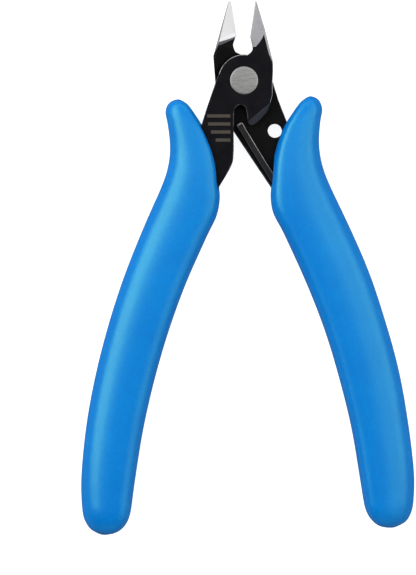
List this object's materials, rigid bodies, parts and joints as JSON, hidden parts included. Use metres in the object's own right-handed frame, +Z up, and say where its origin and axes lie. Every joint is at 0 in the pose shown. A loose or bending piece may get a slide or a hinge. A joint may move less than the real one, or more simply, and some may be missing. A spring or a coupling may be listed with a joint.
{
  "type": "flush cut pliers",
  "caption": "Small flush cut pliers: two lapped steel arms on a rivet, ground side-cutting blades, curved vinyl grips and a leaf return spring.",
  "frame": {"origin": "under the middle of the open tool's bounding box, on the surface that it lies on", "axes": "+Y along the tool from the grips' ends to the blade tips, +Z up out of that surface along the pivot, +X to the right as seen from above"},
  "size_m": [0.078, 0.1248, 0.01],
  "materials": {
    "front_arm": "blackened steel, satin, with bare ground blade",
    "rear_arm": "blackened steel, satin, with bare ground blade",
    "pivot_rivet": "brushed steel",
    "return_spring": "blackened spring steel, satin",
    "left_grip": "blue dipped vinyl, satin",
    "right_grip": "blue dipped vinyl, satin"
  },
  "bodies": {
    "rear_side": {"rear_arm": "rear_arm", "right_grip": "right_grip", "pivot_rivet": "pivot_rivet"},
    "front_side": {"front_arm": "front_arm", "left_grip": "left_grip"},
    "spring_leaf": {"return_spring": "return_spring"}
  },
  "joints": [
    {"name": "jaw_pivot", "type": "hinge", "parent": "rear_side", "child": "front_side", "pos_m": [-0.00006, 0.04342, 0.005], "axis": [0, 0, 1], "range_deg": [0, 16.6], "stiffness_Nm_per_rad": 0.7, "springref_deg": -9.74},
    {"name": "spring_flex", "type": "hinge", "parent": "rear_side", "child": "spring_leaf", "pos_m": [0.01075, 0.01378, 0.005], "axis": [0, 0, 1], "range_deg": [-6.8, 0]}
  ],
  "couplings": [
    {"joint": "spring_flex", "follows": "jaw_pivot", "ratio": -0.4036}
  ]
}
